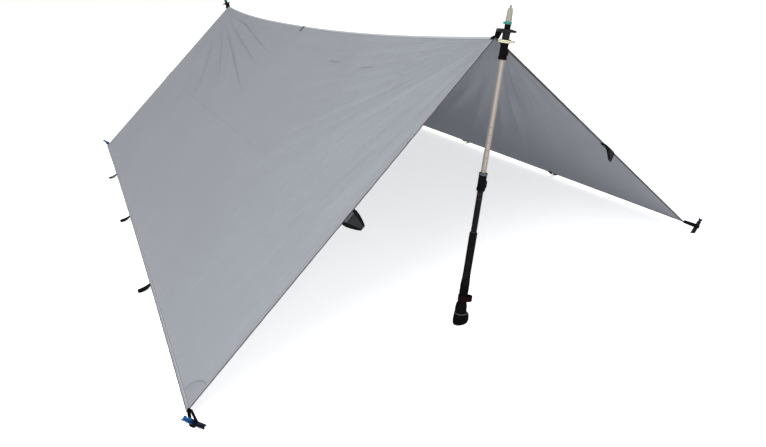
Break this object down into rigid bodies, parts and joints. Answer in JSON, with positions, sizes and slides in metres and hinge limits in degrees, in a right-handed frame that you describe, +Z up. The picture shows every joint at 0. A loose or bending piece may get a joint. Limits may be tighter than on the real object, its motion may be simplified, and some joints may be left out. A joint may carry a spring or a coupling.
{
  "type": "camping tarp",
  "caption": "Ridge tarp shelter pitched low over upturned trekking poles, with webbing tie-outs along its edges and corner loops held by stakes.",
  "frame": {"origin": "midway between the poles on the ridge plane, at the level of the stake tips", "axes": "+Z up, Y along the ridge with the open front at -Y, X across the shelter"},
  "size_m": [2.0644, 3.135, 1.0347],
  "materials": {
    "cloth": "silicone-coated nylon, light warm grey, satin",
    "hem": "folded and stitched edge, charcoal",
    "webbing": "woven tape, black",
    "blue_aluminium": "blue anodised",
    "grey_aluminium": "warm grey anodised, satin",
    "black_aluminium": "black anodised, satin",
    "steel": "plain",
    "carbide": "dark sintered",
    "beige_plastic": "warm grey",
    "black_plastic": "black",
    "teal_rubber": "teal",
    "foam": "fine closed-cell foam, black",
    "glow_cord": "pale glowing cord"
  },
  "bodies": {
    "canopy": {"left_panel": "cloth", "right_panel": "cloth", "ridge_seam": "cloth", "front_hem": "hem", "rear_hem": "hem", "left_hem": "hem", "right_hem": "hem", "front_tie_out_left": "webbing", "front_tie_out_right": "webbing", "rear_tie_out_left": "webbing", "rear_tie_out_right": "webbing", "left_tie_out_front": "webbing", "left_tie_out_middle": "webbing", "left_tie_out_rear": "webbing", "right_tie_out_front": "webbing", "right_tie_out_middle": "webbing", "right_tie_out_rear": "webbing", "front_left_stake_loop": "webbing", "front_right_stake_loop": "webbing", "rear_left_stake_loop": "webbing", "rear_right_stake_loop": "webbing", "front_ridge_strap": "webbing", "front_carbide_tip": "carbide", "front_flex_tip": "beige_plastic", "front_tip_ring": "teal_rubber", "front_basket": "black_plastic", "front_lower_shaft": "grey_aluminium", "rear_ridge_strap": "webbing", "rear_carbide_tip": "carbide", "rear_flex_tip": "beige_plastic", "rear_tip_ring": "teal_rubber", "rear_basket": "black_plastic", "rear_lower_shaft": "grey_aluminium"},
    "front_pole_middle": {"front_middle_shaft": "grey_aluminium", "front_lower_lock_clamp": "black_plastic", "front_lower_lock_bolt": "steel", "front_cord_winding": "glow_cord"},
    "front_pole_upper": {"front_upper_shaft": "black_aluminium", "front_upper_lock_clamp": "black_plastic", "front_upper_lock_bolt": "steel", "front_foam_grip": "foam", "front_handle": "black_plastic", "front_wrist_strap": "webbing"},
    "front_lower_lever": {"front_lower_lock_lever": "black_plastic"},
    "front_upper_lever": {"front_upper_lock_lever": "black_plastic"},
    "rear_pole_middle": {"rear_middle_shaft": "grey_aluminium", "rear_lower_lock_clamp": "black_plastic", "rear_lower_lock_bolt": "steel"},
    "rear_pole_upper": {"rear_upper_shaft": "black_aluminium", "rear_upper_lock_clamp": "black_plastic", "rear_upper_lock_bolt": "steel", "rear_foam_grip": "foam", "rear_handle": "black_plastic", "rear_wrist_strap": "webbing"},
    "rear_lower_lever": {"rear_lower_lock_lever": "black_plastic"},
    "rear_upper_lever": {"rear_upper_lock_lever": "black_plastic"},
    "front_left_stake": {"front_left_stake": "blue_aluminium"},
    "front_right_stake": {"front_right_stake": "blue_aluminium"},
    "rear_left_stake": {"rear_left_stake": "blue_aluminium"},
    "rear_right_stake": {"rear_right_stake": "blue_aluminium"}
  },
  "joints": [
    {"name": "front_lower_section_slide", "type": "slide", "parent": "canopy", "child": "front_pole_middle", "axis": [-0.1925, 0, -0.9813], "range_m": [0, 0.4]},
    {"name": "front_upper_section_slide", "type": "slide", "parent": "front_pole_middle", "child": "front_pole_upper", "axis": [-0.1925, 0, -0.9813], "range_m": [-0.32, 0.05]},
    {"name": "front_lower_lever_hinge", "type": "hinge", "parent": "front_pole_middle", "child": "front_lower_lever", "pos_m": [0.00949, -1.53549, 0.88496], "axis": [0.1925, 0, 0.9813], "range_deg": [0, 110]},
    {"name": "front_upper_lever_hinge", "type": "hinge", "parent": "front_pole_upper", "child": "front_upper_lever", "pos_m": [-0.06307, -1.53472, 0.51175], "axis": [0.1925, 0, 0.9813], "range_deg": [0, 110]},
    {"name": "rear_lower_section_slide", "type": "slide", "parent": "canopy", "child": "rear_pole_middle", "axis": [0.1925, 0, -0.9813], "range_m": [0, 0.4]},
    {"name": "rear_upper_section_slide", "type": "slide", "parent": "rear_pole_middle", "child": "rear_pole_upper", "axis": [0.1925, 0, -0.9813], "range_m": [-0.3434, 0.0266]},
    {"name": "rear_lower_lever_hinge", "type": "hinge", "parent": "rear_pole_middle", "child": "rear_lower_lever", "pos_m": [-0.00949, 1.53549, 0.90796], "axis": [-0.1925, 0, 0.9813], "range_deg": [0, 110]},
    {"name": "rear_upper_lever_hinge", "type": "hinge", "parent": "rear_pole_upper", "child": "rear_upper_lever", "pos_m": [0.06759, 1.53472, 0.51175], "axis": [-0.1925, 0, 0.9813], "range_deg": [0, 110]},
    {"name": "front_left_stake_pull", "type": "slide", "parent": "canopy", "child": "front_left_stake", "axis": [-0.6462, 0, 0.7632], "range_m": [0, 0.15]},
    {"name": "front_right_stake_pull", "type": "slide", "parent": "canopy", "child": "front_right_stake", "axis": [0.6462, 0, 0.7632], "range_m": [0, 0.15]},
    {"name": "rear_left_stake_pull", "type": "slide", "parent": "canopy", "child": "rear_left_stake", "axis": [-0.6462, 0, 0.7632], "range_m": [0, 0.15]},
    {"name": "rear_right_stake_pull", "type": "slide", "parent": "canopy", "child": "rear_right_stake", "axis": [0.6462, 0, 0.7632], "range_m": [0, 0.15]}
  ]
}
